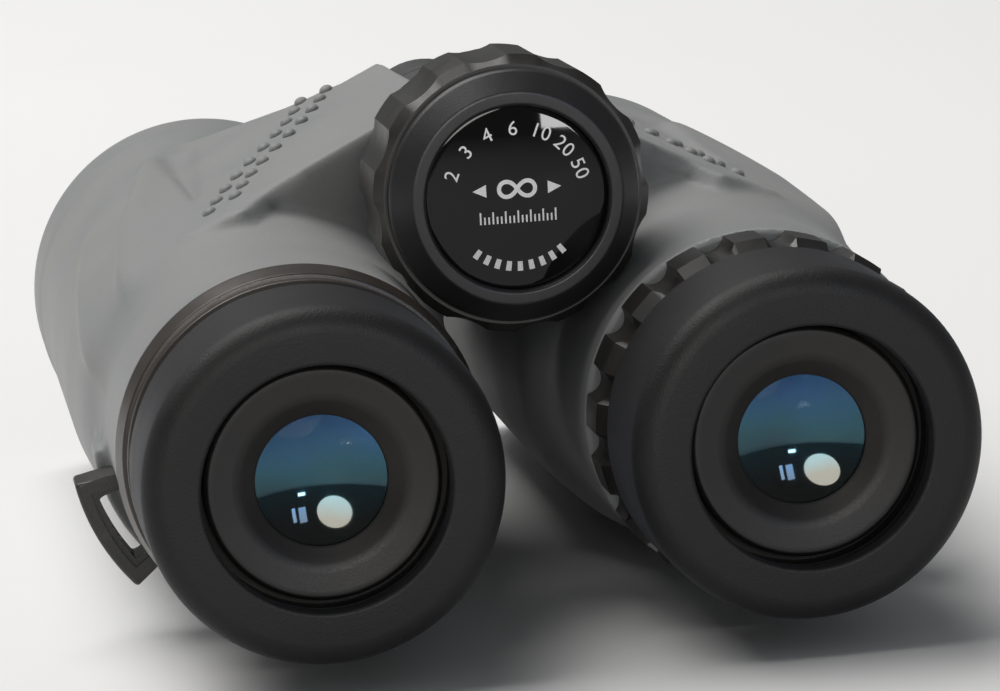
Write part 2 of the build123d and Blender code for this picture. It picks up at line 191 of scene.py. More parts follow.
def turned(*profile, steps=128, sweep=(0, 360)):
    """A shape spun about the Y axis from (radius, station, rounding) corners, in millimetres."""
    shape = bmesh.new()
    corners = [(shape.verts.new((radius, station, 0)), rounding) for radius, station, rounding in profile]
    shape.faces.new([corner for corner, rounding in corners])
    for size in sorted({rounding for corner, rounding in corners if rounding}):
        bmesh.ops.bevel(
            shape, geom=[corner for corner, rounding in corners if rounding == size], affect="VERTICES",
            offset=size, segments=5 if size > 0.5 else 3, profile=0.5, material=-1,
        )
    whole = sweep[1] - sweep[0] == 360
    swing(shape, -sweep[0])
    outline = shape.faces[:] + shape.edges[:] + shape.verts[:]
    if whole:
        bmesh.ops.delete(shape, geom=shape.faces[:], context="FACES_ONLY")
        outline = shape.edges[:] + shape.verts[:]
    bmesh.ops.spin(
        shape, geom=outline, cent=(0, 0, 0), axis=(0, 1, 0), angle=math.radians(sweep[0] - sweep[1]),
        steps=steps, use_merge=whole, use_duplicate=False,
    )
    bmesh.ops.remove_doubles(shape, verts=shape.verts, dist=1e-4)
    bmesh.ops.recalc_face_normals(shape, faces=shape.faces)
    return shape


def settle(shape, side="right", centre="barrel"):
    """Moves a shape from millimetres about its own axis to its place; left shapes are mirrored."""
    x, z = (BARREL_X, BARREL_Z) if centre == "barrel" else (0, HINGE_Z)
    home = Matrix.Translation((x, STATION_ZERO, z)) @ Matrix.Diagonal((MM, MM, MM, 1))
    bmesh.ops.transform(shape, matrix=home, verts=shape.verts)
    if side == "left":
        bmesh.ops.scale(shape, vec=(-1, 1, 1), verts=shape.verts)
        bmesh.ops.reverse_faces(shape, faces=shape.faces)
    return shape


def as_object(shape, name):
    mesh = bpy.data.meshes.new(name)
    shape.to_mesh(mesh)
    shape.free()
    made = bpy.data.objects.new(name, mesh)
    bpy.context.scene.collection.objects.link(made)
    return made


def join(*shapes):
    """Puts several closed shapes in one."""
    whole = shapes[0]
    for shape in shapes[1:]:
        passing = bpy.data.meshes.new("passing")
        shape.to_mesh(passing)
        whole.from_mesh(passing)
        shape.free()
        bpy.data.meshes.remove(passing)
    return whole


def worked(shape, kind, **settings):
    """The shape after one modifier."""
    blank = as_object(shape, "blank")
    modifier = blank.modifiers.new(kind, kind)
    for setting, value in settings.items():
        setattr(modifier, setting, value)
    seen = blank.evaluated_get(bpy.context.evaluated_depsgraph_get())
    result = bmesh.new()
    result.from_mesh(seen.to_mesh())
    bpy.data.objects.remove(blank)
    return result


def cut(shape, cutter, solver="EXACT"):
    """The shape without what the cutter covers."""
    tool = as_object(cutter, "cutter")
    result = worked(shape, "BOOLEAN", operation="DIFFERENCE", object=tool, solver=solver)
    bpy.data.objects.remove(tool)
    return result


def piece(shape, name, material, body, replaced=(), sharp=32):
    """Finishes a piece: smooth between edges sharper than some degrees, with its material and body."""
    made = as_object(shape, name)
    made.data.materials.append(material)
    made.data.shade_smooth()
    made.data.set_sharp_from_angle(angle=math.radians(sharp))
    weighted = made.modifiers.new("even_shading", "WEIGHTED_NORMAL")
    weighted.keep_sharp = True
    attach(made, body)
    if replaced:
        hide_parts(*replaced)
    return made


# Radii and stations in millimetres; a station is counted forwards from the dished rings' faces.
SKIN = 2.0
NECK_R, NECK_START, NECK_END = 22.3, 21.5, 43.5
BARREL_R, FRONT = 25.7, 141.5
MOUTH_R = 22.0
LUG_BOSS_R = 24.3
BLANK_START, BLANK_END = 20.0, 143.0                # the skin's blank, before its ends are cut
BRIDGE_BARREL_R, BRIDGE_HINGE_R = 24.4, 12.1        # the bridge's outside about the two axes
HINGE_CUT_R = 10.05
HALF_SPREAD = math.degrees(math.atan2(BARREL_X, HINGE_Z - BARREL_Z))
ARM = math.hypot(BARREL_X, HINGE_Z - BARREL_Z) / MM
TOP_NORMAL = HALF_SPREAD + math.degrees(math.asin((BRIDGE_BARREL_R - BRIDGE_HINGE_R) / ARM))
TOP_LENGTH = ARM * math.cos(math.radians(TOP_NORMAL - HALF_SPREAD))
HINGE_POINT = polar(ARM, 90 + HALF_SPREAD)          # from the barrel's axis
UP = Vector((math.cos(math.radians(TOP_NORMAL)), 0, math.sin(math.radians(TOP_NORMAL))))
ALONG = Vector((-UP.z, 0, UP.x))                    # over the flat top, from barrel to hinge
BRIDGE_START, BRIDGE_END = 51.9, 95.5
UNDER_BARREL, UNDER_HINGE = 160, -80                # angles where the underside meets the two rounds
SWEEP_FOOT, SWEEP_TURN, SWEEP_R = 26.3, 49.6, 14.0  # the far edge's turn from across to along
SWEEP_STEPS = 5
SWEEP_END = 117.0
SHOULDER_START, SHOULDER_END = 47.0, BRIDGE_END - 20


def on_top(along, station, over=0.0):
    """A point on the bridge's flat top."""
    return ALONG * along + UP * (BRIDGE_BARREL_R + over) + Vector((0, station, 0))


def bridge_wedge(inset, start, end):
    """The bridge's section carried straight from one station to another."""
    corners = [
        polar(0.1, TOP_NORMAL, HINGE_POINT),
        polar(BRIDGE_HINGE_R - inset, TOP_NORMAL, HINGE_POINT),
        polar(BRIDGE_BARREL_R - inset, TOP_NORMAL),
        (0, 0),
        polar(BRIDGE_BARREL_R - inset, UNDER_BARREL - 2.5 * inset),
        polar(BRIDGE_HINGE_R, UNDER_HINGE + 5 * inset, HINGE_POINT),
    ]
    wedge = bmesh.new()
    face = wedge.faces.new([wedge.verts.new((x, start, z)) for x, z in corners])
    moved = bmesh.ops.extrude_face_region(wedge, geom=[face])["geom"]
    far = [vert for vert in moved if isinstance(vert, bmesh.types.BMVert)]
    bmesh.ops.translate(wedge, verts=far, vec=(0, end - start, 0))
    bmesh.ops.recalc_face_normals(wedge, faces=wedge.faces)
    return wedge


def pare(shape, point, normal):
    """Cuts off what lies beyond a plane, and closes the cut."""
    bmesh.ops.bisect_plane(
        shape, geom=shape.verts[:] + shape.edges[:] + shape.faces[:], plane_co=point, plane_no=normal,
        clear_outer=True, dist=1e-5,
    )
    bmesh.ops.holes_fill(shape, edges=[edge for edge in shape.edges if edge.is_boundary])
    bmesh.ops.recalc_face_normals(shape, faces=shape.faces)
    return shape


def bridge_blocks(inset):
    """Overlapping wedges that together make the bridge; its far edge sweeps into the barrel."""
    blocks = []
    half_turn = math.radians(SWEEP_TURN / 2)
    turn_centre = Vector((SWEEP_FOOT + SWEEP_R * math.tan(half_turn), BRIDGE_END + SWEEP_R))
    for step in range(SWEEP_STEPS + 1):
        turn = math.radians(SWEEP_TURN * step / SWEEP_STEPS)
        slope = Vector((math.sin(turn), math.cos(turn)))
        touch = turn_centre - slope * (SWEEP_R + inset)
        block = bridge_wedge(inset, BRIDGE_START + inset, SWEEP_END)
        pare(block, on_top(touch.x, touch.y), ALONG * slope.x + Vector((0, slope.y, 0)))
        pare(block, on_top(TOP_LENGTH - 0.2, BRIDGE_START), ALONG + Vector((0, 0.03, 0)))
        blocks.append(block)
    if not inset:
        shoulder = bridge_wedge(0, SHOULDER_START, SHOULDER_END)
        pare(shoulder, on_top(9.0, 48.2), (ALONG * 2 - Vector((0, 1.9, 0))).normalized())
        pare(shoulder, on_top(7.0, 48.3), (-ALONG * 0.5 - Vector((0, 2, 0))).normalized())
        blocks.append(shoulder)
    return join(*blocks)


def fade(value, low, high):
    """0 below low, 1 above high, and a smooth step between."""
    share = min(1.0, max(0.0, (value - low) / (high - low)))
    return share * share * (3 - 2 * share)


# Each row of grip pips runs from one (along, station) to another on the bridge's top. The rows and
# the sunk panel's edge beside them share one slight S.
PIP_ROWS = (((5.1, 56.0), (24.4, 95.6)), ((9.1, 57.0), (28.2, 94.0)))
PIPS_IN_ROW = 10
ROW_SWAY = 0.8
PIP_SIZE = (1.0, 1.3, 0.72)
PANEL_START, PANEL_LENGTH = 57.0, 39.4
PANEL_ALONG, PANEL_DRIFT, PANEL_SUNK = 10.6, 18.9, 0.4

# A crease rises from an angle at a station and climbs by degrees a millimetre, between two stations.
# It falls steeply on its lower side and gently on its upper one.
CREASES = ((20, 55, 0.52, 40, 100, 1.0), (42, 52, 0.46, 44, 122, 1.1))
CREASE_LOWER, CREASE_UPPER = 1.3, 3.6
ARC_PER_DEGREE = 0.44

# The thumb dent widens from a point at its start, and is deepest along its lower side.
DENT_START, DENT_LENGTH = 68, 40
DENT_LOWER, DENT_LOWER_TURN = 74, -2.0
DENT_UPPER, DENT_UPPER_TURN = 75.5, 6.5
DENT_DEPTH, DENT_SHALLOWING = 1.1, 0.7

SKIN_VOXEL, CORE_VOXEL = 0.45, 0.8
FACES_KEPT = 0.62


def sway(share):
    """The sideways S of the pip rows, as a row's share from 0 to 1 is passed."""
    return ROW_SWAY * math.sin(2 * math.pi * share)


def pip_places():
    """Where the grip pips stand, as (along, station) on the bridge's top."""
    places = []
    for start, end in PIP_ROWS:
        for number in range(PIPS_IN_ROW):
            share = number / (PIPS_IN_ROW - 1)
            along = start[0] + (end[0] - start[0]) * share - sway(share)
            places.append((along, start[1] + (end[1] - start[1]) * share))
    return places


def crease_height(angle, station):
    height = 0.0
    for foot, foot_station, climb, low, high, crest in CREASES:
        line = foot + climb * (station - foot_station)
        gap = (angle - line) * ARC_PER_DEGREE
        ends = fade(station, low, low + 12) * (1 - fade(station, high - 18, high))
        reach = CREASE_LOWER if gap < 0 else CREASE_UPPER
        height += crest * math.exp(-(gap / reach) ** 2) * ends
    return height


def dent_depth(angle, station):
    share = (station - DENT_START) / DENT_LENGTH
    lower = DENT_LOWER + DENT_LOWER_TURN * share
    upper = DENT_UPPER + DENT_UPPER_TURN * share
    across = min(1.0, max(0.0, (angle - lower) / (upper - lower)))
    inside = fade(angle, lower - 0.8, lower + 0.8) * (1 - fade(angle, upper - 0.5, upper + 2.0))
    ends = fade(station, 66, 72) * (1 - fade(station, 106, 109))
    return (DENT_DEPTH - DENT_SHALLOWING * across) * inside * ends


def sculpt(point, facing):
    """How a point of the skin moves, in millimetres about the barrel's axis."""
    angle = math.degrees(math.atan2(point.z, point.x))
    station = point.y
    rise = 0.0
    if math.hypot(point.x, point.z) < BARREL_R + 0.8 and -30 < angle < 100:
        rise = crease_height(angle, station) - dent_depth(angle, station)
    move = facing * rise
    if abs(point.dot(UP) - BRIDGE_BARREL_R) < 1.0:
        share = (station - PANEL_START) / PANEL_LENGTH
        edge = PANEL_ALONG + PANEL_DRIFT * share - sway(min(1, max(0, share)))
        sunk = PANEL_SUNK * fade(point.dot(ALONG), edge + 0.2, edge + 1.2)
        move -= UP * sunk * fade(facing.dot(UP), 0.75, 0.97)
    return move


def relax(shape, region, passes):
    """Smooths some of a shape's points."""
    for _ in range(passes):
        bmesh.ops.smooth_vert(
            shape, verts=region, factor=0.5, use_axis_x=True, use_axis_y=True, use_axis_z=True,
        )


def skin_blank():
    """The rubber's outer surface as one solid: tube, bridge and the boss over the strap lug's foot."""
    outer = turned(
        (0, BLANK_START, 0), (NECK_R, BLANK_START, 0), (NECK_R, NECK_END, 5),
        (BRIDGE_BARREL_R - 0.2, 50.5, 3), (24.7, 56.0, 0), (25.3, 72.0, 0), (25.4, 126.0, 0),
        (BARREL_R, 129.5, 0), (BARREL_R, BLANK_END, 0), (0, BLANK_END, 0),
    )
    boss = turned(
        (20, 38.5, 0), (LUG_BOSS_R, 38.9, 0), (LUG_BOSS_R, 46.0, 0), (20, 46.9, 0),
        steps=24, sweep=(-50, -5),
    )
    blank = worked(
        join(outer, bridge_blocks(0), boss), "REMESH",
        mode="VOXEL", voxel_size=SKIN_VOXEL, use_smooth_shade=True,
    )
    relax(blank, blank.verts[:], 5)
    blank.normal_update()
    moves = [(vert, sculpt(vert.co, vert.normal)) for vert in blank.verts]
    for vert, move in moves:
        vert.co += move
    relax(blank, blank.verts[:], 6)
    near_top = [vert for vert in blank.verts if vert.co.dot(UP) > 21.5 and 2 < vert.co.dot(ALONG)]
    crest = [vert for vert in near_top if 49 < vert.co.y < 55 or vert.co.y > 92]
    relax(blank, crest, 10)
    shoulder = [vert for vert in near_top if 46 < vert.co.y < 56 and vert.co.dot(ALONG) < 18]
    relax(blank, shoulder, 20)
    return blank


def tube_cutter():
    """What the barrel fills inside the skin, and the trimming of the skin's two ends."""
    return turned(
        (0, 15, 0), (30, 15, 0), (30, 23.4, 0), (24.0, 23.4, 0), (21.95, 21.62, 0), (21.6, NECK_START, 0),
        (NECK_R - SKIN, NECK_START, 0), (NECK_R - SKIN, 44.0, 0), (22.4, 51.0, 0), (23.4, 75.0, 0),
        (23.6, FRONT - SKIN, 0), (MOUTH_R, FRONT - SKIN, 0), (MOUTH_R, FRONT, 0), (24.4, FRONT, 0),
        (25.0, FRONT - 0.3, 0), (27.4, FRONT - 2.5, 0), (30, FRONT - 2.5, 0), (30, 150, 0), (0, 150, 0),
    )


def hinge_cutter():
    """The room round the hinge's knuckles."""
    cutter = turned((0, 40, 0), (HINGE_CUT_R, 40, 0), (HINGE_CUT_R, 130, 0), (0, 130, 0), steps=96)
    bmesh.ops.translate(cutter, verts=cutter.verts, vec=(HINGE_POINT[0], 0, HINGE_POINT[1]))
    return cutter


def pip_shape(foot):
    """A low oval bead, lying on the bridge's top."""
    pip = bmesh.new()
    bmesh.ops.create_uvsphere(pip, u_segments=12, v_segments=8, radius=1.0)
    bmesh.ops.scale(pip, vec=PIP_SIZE, verts=pip.verts)
    lie = Matrix((ALONG, (0, 1, 0), UP)).transposed()
    bmesh.ops.rotate(pip, verts=pip.verts, matrix=lie)
    bmesh.ops.translate(pip, verts=pip.verts, vec=foot)
    return pip


def armour_shape():
    skin = skin_blank()
    ground = BVHTree.FromBMesh(skin)
    skin = worked(skin, "DECIMATE", ratio=FACES_KEPT)
    core = worked(bridge_blocks(SKIN), "REMESH", mode="VOXEL", voxel_size=CORE_VOXEL)
    for cutter in (tube_cutter(), hinge_cutter(), core):
        skin = cut(skin, cutter, "MANIFOLD")
    bmesh.ops.remove_doubles(skin, verts=skin.verts, dist=0.01)
    bmesh.ops.dissolve_degenerate(skin, edges=skin.edges, dist=0.005)
    for along, station in pip_places():
        foot = ground.ray_cast(on_top(along, station, 5.0), -UP)[0]
        skin = join(skin, pip_shape(foot))
    return skin


def armour_rubber():
    """Matt rubber: fine moulded grain, slight clouding of its tone and roughness, and a painted highlight in
    a thin pale band along its two rims.
    """
    finish = Finish("armour_rubber")
    cloud = finish.noise(14.0, 4.0)
    speck = finish.noise(0.35, 2.0)
    tone = finish.colours(finish.spread(cloud, 0.35, 0.65), (0.228, 0.238, 0.242), (0.248, 0.25, 0.245))
    tone = finish.colours(finish.spread(speck, 0.55, 0.75, 0, 0.35), tone, (0.3, 0.3, 0.292))
    station = finish.along("Y")
    rear_rim = STATION_ZERO + NECK_START * MM
    front_rim = STATION_ZERO + FRONT * MM
    # Painted highlight: a pale band just inside the rim at the neck and at the mouth, where a rounded edge
    # would catch the light.
    rims = finish.spread(station, rear_rim + 0.2 * MM, rear_rim + 1.1 * MM, 1, 0)
    rims = rims + finish.spread(station, front_rim - 2.0 * MM, front_rim - 0.4 * MM)
    tone = finish.colours(rims * finish.spread(cloud, 0.25, 0.6, 0.35, 0.75), tone, (0.4, 0.415, 0.415))
    return finish.surface({
        "Base Color": tone,
        "Roughness": finish.spread(cloud, 0.3, 0.7, 0.52, 0.66),
        "Specular IOR Level": 0.4,
        "Sheen Weight": 0.12,
        "Sheen Roughness": 0.5,
        "Normal": finish.bump(finish.noise(0.3, 2.0) + finish.grains(0.5) * 0.5, 0.03),
    })


armour_material = armour_rubber()
right_skin = armour_shape()
left_skin = right_skin.copy()
for side, skin in (("right", right_skin), ("left", left_skin)):
    piece(
        settle(skin, side), side + "_armour_skin", armour_material, side + "_half",
        (side + "_armour",), sharp=50,
    )

# ---- Strap lugs --------------------------------------------------------------------------------
# A D-shaped loop of hard black plastic on the outer side of each neck, for the neck strap's web.
# It is moulded in one, with rounded corners and a thin lip round the slot.

LUG_LOW, LUG_HIGH = -43.0, -10.5            # its two ends, in degrees above the outer side
LUG_START, LUG_END = 33.0, 38.5
LUG_R, SLOT_R = 27.5, 25.2
SLOT_INNER_R = 19                           # inside the barrel's wall
LUG_POST = 5.5                              # degrees from each end of the loop to the slot
LIP_WIDTH, LIP_DEPTH, LIP_TURN = 0.7, 0.35, 1.4
CRISP = 1.2                                 # radians between faces at a square edge


def lug_block(inner, outer, start, end, rounding, steps, sweep):
    """An arched block between two radii and two stations."""
    return turned(
        (inner, start, 0), (outer, start, rounding), (outer, end, rounding), (inner, end, 0),
        steps=steps, sweep=sweep,
    )


def strap_lug_shape():
    loop = lug_block(NECK_R - SKIN, LUG_R, LUG_START, LUG_END, 0.6, 24, (LUG_LOW, LUG_HIGH))
    rims = [
        edge for edge in loop.edges
        if edge.calc_face_angle(0) > CRISP and all(math.hypot(v.co.x, v.co.z) > 26 for v in edge.verts)
    ]
    bmesh.ops.bevel(loop, geom=rims, affect="EDGES", offset=0.5, segments=3, profile=0.5, material=-1)
    low, high = LUG_LOW + LUG_POST, LUG_HIGH - LUG_POST
    slot = lug_block(SLOT_INNER_R, SLOT_R, LUG_START - 2, LUG_END + 2, 0, 20, (low, high))
    corners = [
        edge for edge in slot.edges
        if edge.calc_face_angle(0) > CRISP and abs(edge.verts[0].co.y - edge.verts[1].co.y) > 3
    ]
    bmesh.ops.bevel(slot, geom=corners, affect="EDGES", offset=1.2, segments=4, profile=0.5, material=-1)
    lip = lug_block(
        SLOT_INNER_R, SLOT_R + LIP_WIDTH, LUG_START - 2, LUG_START + LIP_DEPTH, 0, 20,
        (low - LIP_TURN, high + LIP_TURN),
    )
    return cut(cut(loop, slot), lip)


lug_plastic = moulded_plastic("lug_plastic", (0.016, 0.015, 0.014), grain=0.3, roughness=0.42)
for side in BOTH:
    piece(
        settle(strap_lug_shape(), side), side + "_strap_loop", lug_plastic, side + "_half",
        (side + "_strap_lug",),
    )

# ---- Eyecups -----------------------------------------------------------------------------------
# Soft black rubber cups, glued to rigid sleeves that twist and climb on the eyepiece tubes. The
# face is broad and flat with a full round outer edge, and the rubber has a dull bluish bloom.

CUP_FACE, CUP_WEB, CUP_END = -3.5, -1.5, 12.7   # stations: the face, the face's back, the open end
CUP_MOUTH_R, CUP_BORE_R = 14.6, 18.8
CUP_FACE_R, CUP_END_R = 21.3, 21.55


def cup_shape():
    return turned(
        (CUP_MOUTH_R, CUP_WEB, 0), (CUP_MOUTH_R, CUP_FACE, 0.5), (CUP_FACE_R, CUP_FACE, 3.0),
        (21.45, 4.0, 0), (CUP_END_R, CUP_END, 0.45), (CUP_BORE_R, CUP_END, 0), (CUP_BORE_R, CUP_WEB, 0),
    )


def cup_rubber():
    finish = Finish("cup_rubber")
    bloom = finish.noise(9.0, 4.0)
    dust = finish.noise(0.5, 2.0)
    tone = finish.colours(finish.spread(bloom, 0.35, 0.7), (0.009, 0.0086, 0.0086), (0.0135, 0.013, 0.013))
    tone = finish.colours(finish.spread(dust, 0.62, 0.8, 0, 0.2), tone, (0.05, 0.048, 0.047))
    return finish.surface({
        "Base Color": tone,
        "Roughness": finish.spread(bloom, 0.3, 0.7, 0.5, 0.62),
        "Specular IOR Level": 0.27,
        "Sheen Weight": 0.05,
        "Sheen Roughness": 0.45,
        "Sheen Tint": (0.75, 0.82, 1.0, 1),
        "Normal": finish.bump(finish.grains(0.32) + finish.noise(0.2, 2.0), 0.025),
    })


cup_material = cup_rubber()
sleeve_plastic = moulded_plastic("sleeve_plastic", (0.012, 0.012, 0.012))
for side in BOTH:
    piece(
        settle(cup_shape(), side), side + "_cup", cup_material, side + "_eyecup",
        (side + "_eyecup_rubber",),
    )
repaint([side + part for side in BOTH for part in ("_eyecup_sleeve", "_eyecup_glide")], sleeve_plastic)

# ---- Eyepieces ---------------------------------------------------------------------------------
# Inside each cup a dished ring of anodised aluminium holds the eye lens. The ring is bead-blasted,
# with a fine turned lip. The lens is thick and curved on both faces; its coatings throw back blue,
# and a painted reflection shades its inner face from blue above to near black below.


def satin_metal(name, colour, rubbed, roughness=0.36, relief=0.012, metallic=0.25):
    """Anodised or enamelled metal with a bead-blasted grain, worn bright along its edges."""
    finish = Finish(name)
    haze = finish.noise(5.0, 3.0)
    grain = finish.noise(0.18, 2.0)
    tone = finish.colours(finish.spread(haze, 0.35, 0.7, 0, 0.5), colour, rubbed)
    tone = finish.colours(finish.edges(0.56, 0.68) * 0.6, tone, [min(1, channel * 2.0) for channel in rubbed])
    return finish.surface({
        "Base Color": tone,
        "Metallic": metallic,
        "Roughness": finish.spread(grain, 0.3, 0.7, roughness - 0.05, roughness + 0.07),
        "Normal": finish.bump(grain, relief),
    })


LENS_R, LENS_FACE_R = 9.0, 8.4
LENS_FRONT, LENS_FRONT_SAG = 1.1, 1.2
LENS_BACK, LENS_BACK_SAG = 6.9, 2.6
COATED_FROM = 4.2                           # station behind which the lens's faces are coated
RING_SEAT_R = 15.0


def face_ring_shape():
    return turned(
        (7.8, 2.4, 0), (7.8, 1.9, 0.1), (8.5, 1.45, 0.4), (10.1, 0.35, 0.7), (13.0, -0.1, 0.2),
        (13.5, -0.1, 0.15), (14.0, 0.4, 0.15), (14.0, 3.0, 0), (RING_SEAT_R, 3.0, 0),
        (RING_SEAT_R, 8.0, 0), (LENS_R, 8.0, 0), (LENS_R, 2.4, 0),
    )


def domed(radius, crown, sag, steps=12):
    """Profile corners of a lens face, from its middle to its rim."""
    return [(radius * k / steps, crown + sag * (k / steps) ** 2, 0) for k in range(steps + 1)]


def eye_lens_shape():
    """A thick lens: a shallow face towards the eye and a deeper one inside."""
    front = domed(LENS_FACE_R, LENS_FRONT, LENS_FRONT_SAG)
    back = domed(LENS_R, LENS_BACK, -LENS_BACK_SAG)
    return turned(*front, (LENS_R, 2.5, 0), *reversed(back))


def front_glass():
    """Clear glass with a hard coating; most of the light passes to the coated face behind."""
    finish = Finish("eye_glass")
    smear = finish.noise(3.0, 3.0)
    return finish.surface({
        "Base Color": (0.01, 0.03, 0.04, 1),
        "Roughness": finish.spread(smear, 0.4, 0.75, 0.0, 0.05),
        "Alpha": 0.14,
        "Specular IOR Level": 0.15,
    })


def coating_and_painted_reflection():
    """The inner face's coating with a painted reflection: blue above, teal in the middle and near black
    below.
    """
    finish = Finish("coating_and_painted_reflection")
    drift = finish.noise(7.0, 2.0)
    # Painted reflection: the colour changes with height, standing for the bright floor mirrored in the upper
    # half and the dim room in the lower.
    height = finish.along("Z") + drift * (4.0 * MM)
    level = finish.spread(height, BARREL_Z - 3.5 * MM, BARREL_Z + 8.5 * MM)
    tone = finish.colours(finish.spread(level, 0.0, 0.5), (0.024, 0.025, 0.019), (0.014, 0.1, 0.14))
    tone = finish.colours(finish.spread(level, 0.5, 1.0), tone, (0.03, 0.13, 0.33))
    return finish.surface({
        "Base Color": tone,
        "Metallic": 0.9,
        "Roughness": finish.spread(drift, 0.3, 0.7, 0.03, 0.09),
        "Coat Weight": 0.8,
        "Coat Roughness": 0.02,
    })


ring_metal = satin_metal("ring_metal", (0.009, 0.0074, 0.0066), (0.015, 0.0125, 0.011), roughness=0.5)
dark_metal = satin_metal("dark_metal", (0.012, 0.012, 0.012), (0.025, 0.025, 0.026))
eye_glass = front_glass()
eye_coating_painted_reflection = coating_and_painted_reflection()
for side in BOTH:
    eyepiece = "left_half" if side == "left" else "right_ocular"
    piece(
        settle(face_ring_shape(), side), side + "_dished_ring", ring_metal, eyepiece,
        (side + "_face_ring",),
    )
    lens = piece(
        settle(eye_lens_shape(), side), side + "_lens", eye_glass, eyepiece,
        (side + "_eye_lens",),
    )
    lens.data.materials.append(eye_coating_painted_reflection)
    for face in lens.data.polygons:
        if face.center.y > STATION_ZERO + COATED_FROM * MM:
            face.material_index = 1
repaint([side + part for side in BOTH for part in ("_ocular_tube", "_field_stop")], dark_metal)

# ---- Left base ring ----------------------------------------------------------------------------
# The left eyepiece has no adjustment, so a plain turned ring closes the step between cup and
# armour: a broad satin band, a groove and a narrow band under the cup.

RING_START, RING_END = 13.9, 21.2
RING_LIP_R, RING_BORE_R = 17.8, 19.6
GROOVE_R = 21.25


def base_ring_shape():
    return turned(
        (RING_LIP_R, RING_START, 0), (20.9, RING_START, 0.15), (20.9, 15.0, 0.15), (21.5, 15.35, 0.15),
        (21.5, 16.9, 0.15), (GROOVE_R, 17.05, 0), (GROOVE_R, 17.4, 0), (21.95, 17.5, 0.2),
        (22.6, 20.7, 0.25), (22.55, RING_END, 0.1), (RING_BORE_R, RING_END, 0), (RING_BORE_R, 14.5, 0),
        (RING_LIP_R, 14.5, 0),
    )


band_satin = satin_metal("band_satin", (0.042, 0.035, 0.03), (0.07, 0.06, 0.052), roughness=0.33)
piece(
    settle(base_ring_shape(), "left"), "left_stepped_ring", band_satin, "left_half",
    ("left_base_ring",),
)

# ---- Dioptre ring ------------------------------------------------------------------------------
# The right eyepiece's ring turns to match one eye to the other. It is hard plastic with broad
# scooped lugs, chamfered towards the user.


def scooped(outline, outer, depth, lugs, phase, top_share, per_lug):
    """A turned ring whose rim is hollowed between lugs that keep the round's full radius."""
    pitch = 360 / lugs
    half = math.radians(pitch * (1 - top_share) / 2)
    chord = outer * math.sin(half)
    drop = depth - outer * (1 - math.cos(half))
    scoop_r = (chord ** 2 + drop ** 2) / (2 * drop)
    centre_r = outer * math.cos(half) - drop + scoop_r
    grip = swing(turned(*outline, steps=lugs * per_lug), -phase)
    for vert in grip.verts:
        radius = math.hypot(vert.co.x, vert.co.z)
        angle = math.degrees(math.atan2(vert.co.z, vert.co.x)) - phase
        off = math.radians((angle % pitch) - pitch / 2)
        reach = scoop_r ** 2 - (centre_r * math.sin(off)) ** 2
        if reach > 0:
            limit = centre_r * math.cos(off) - math.sqrt(reach)
            if limit < radius:
                vert.co.x *= limit / radius
                vert.co.z *= limit / radius
    return grip


def grip_plastic(name, colour, rubbed):
    """Satin moulded plastic, polished and paler where fingers turn it."""
    finish = Finish(name)
    handled = finish.noise(4.0, 3.0)
    grain = finish.noise(0.16, 2.0)
    tone = finish.colours(finish.spread(handled, 0.35, 0.7, 0, 0.6), colour, rubbed)
    tone = finish.colours(finish.edges(0.55, 0.68) * 0.8, tone, [channel * 2.6 for channel in rubbed])
    return finish.surface({
        "Base Color": tone,
        "Roughness": finish.spread(handled, 0.3, 0.7, 0.34, 0.46),
        "Specular IOR Level": 0.55,
        "Normal": finish.bump(grain, 0.012),
    })


DIOPTRE_R, DIOPTRE_BORE_R = 22.3, 19.65
DIOPTRE_VALLEY, DIOPTRE_BEVEL = 1.4, 1.4
DIOPTRE_LUGS, DIOPTRE_PHASE, DIOPTRE_LUG_SHARE = 18, 75.9, 0.52
dioptre_outline = (
    (DIOPTRE_BORE_R, RING_START, 0), (DIOPTRE_R - DIOPTRE_BEVEL, RING_START, 0),
    (DIOPTRE_R, RING_START + DIOPTRE_BEVEL, 0), (DIOPTRE_R, 17.6, 0), (DIOPTRE_R, RING_END, 0),
    (DIOPTRE_BORE_R, RING_END, 0),
)
dioptre_rim = scooped(
    dioptre_outline, DIOPTRE_R, DIOPTRE_VALLEY, DIOPTRE_LUGS, DIOPTRE_PHASE, DIOPTRE_LUG_SHARE, per_lug=20,
)
dioptre_black = grip_plastic("dioptre_black", (0.011, 0.0098, 0.009), (0.02, 0.018, 0.0165))
piece(
    settle(dioptre_rim, "right"), "dioptre_grip", dioptre_black, "dioptre_ring", ("dioptre_ring",),
    sharp=20,
)
inner_lip = turned(
    (RING_LIP_R, RING_START, 0), (19.7, RING_START, 0), (19.7, RING_START + 0.5, 0),
    (RING_LIP_R, RING_START + 0.5, 0),
)
piece(settle(inner_lip), "dioptre_lip", dioptre_black, "dioptre_ring")

# ---- Hinge -------------------------------------------------------------------------------------
# A steel tube pins the knuckles of the two halves, with a black collar at the knob's end and a low
# nut at the front, where a brass bush takes a tripod stud. Only the collar and the nut show.

steel = satin_metal("turned_steel", (0.38, 0.38, 0.39), (0.5, 0.5, 0.51), roughness=0.3, metallic=1.0)
brass = satin_metal("turned_brass", (0.5, 0.35, 0.13), (0.6, 0.46, 0.22), roughness=0.3, metallic=1.0)
repaint(["hinge_axle", "hinge_washers", "focus_screw", "knob_fixing_screw"], steel)
repaint(["tripod_bush", "focus_nut"], brass)

COLLAR_R, COLLAR_BORE_R = 9.5, 4.05
COLLAR_START, COLLAR_END = 43.5, 52.0
NUT_R, NUT_BORE_R = 8.0, 5.6
NUT_BACK, NUT_FACE = 98.0, 99.5


def notched(shape, size, radius, station, angles):
    """Cuts a square notch for a pin spanner at each angle about the axis."""
    for angle in angles:
        notch = bmesh.new()
        bmesh.ops.create_cube(notch, size=1.0)
        bmesh.ops.scale(notch, vec=size, verts=notch.verts)
        bmesh.ops.translate(notch, verts=notch.verts, vec=(radius, station, 0))
        shape = cut(shape, swing(notch, angle))
    return shape


